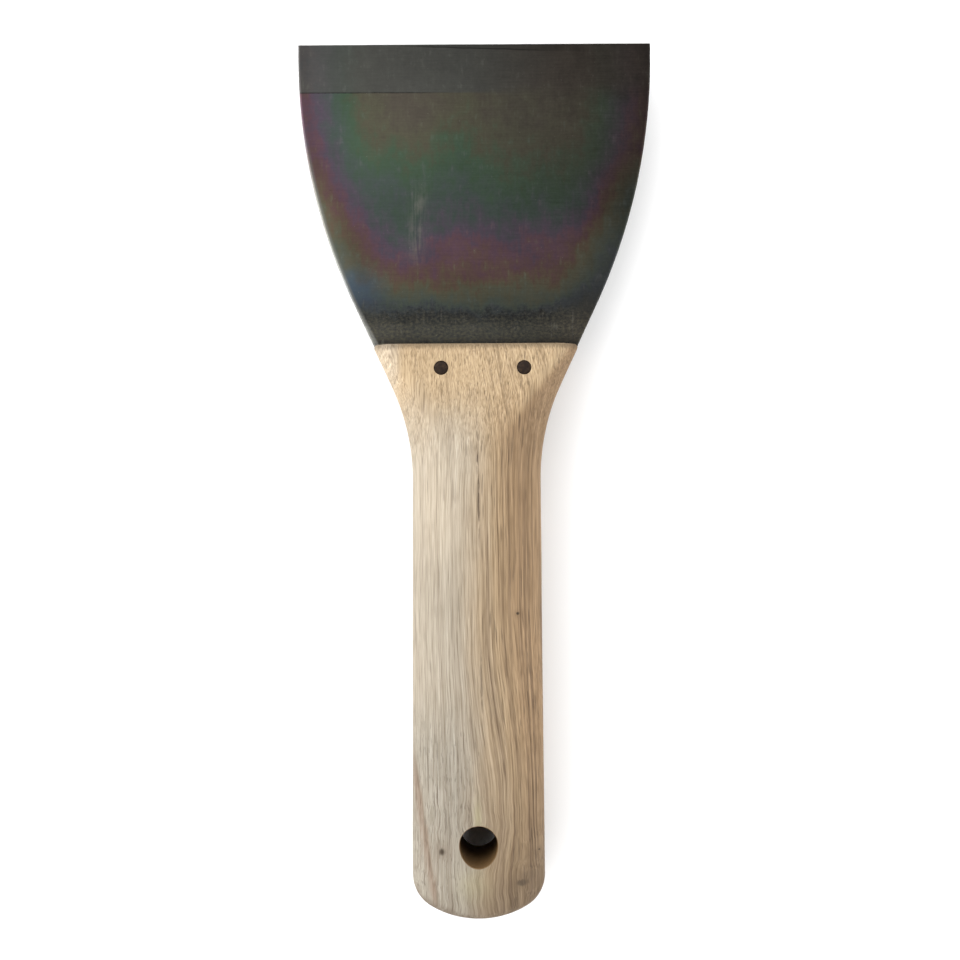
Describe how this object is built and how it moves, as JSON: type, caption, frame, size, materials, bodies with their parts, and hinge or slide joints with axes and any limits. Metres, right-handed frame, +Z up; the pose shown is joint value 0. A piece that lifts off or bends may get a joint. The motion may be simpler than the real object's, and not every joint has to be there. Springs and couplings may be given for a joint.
{
  "type": "taping knife",
  "caption": "Drywall taping knife: thin flaring spring-steel blade riveted into the sawn head of a one-piece oval wooden handle with a hanging hole through its butt.",
  "frame": {"origin": "middle of the knife's footprint, on the flat strip along the back of the handle, which it lies on", "axes": "+Y along the knife towards the working edge, +Z up out of the front of the handle along the hanging hole, X across the blade"},
  "size_m": [0.1, 0.2458, 0.0228],
  "materials": {
    "blade_steel": "blued and brushed, bright tempering colours",
    "handle_wood": "bare, sanded",
    "rivet_steel": "dark, ground flush"
  },
  "bodies": {
    "root": {"blade": "blade_steel", "handle": "handle_wood", "rivet_left": "rivet_steel", "rivet_right": "rivet_steel"}
  },
  "joints": []
}
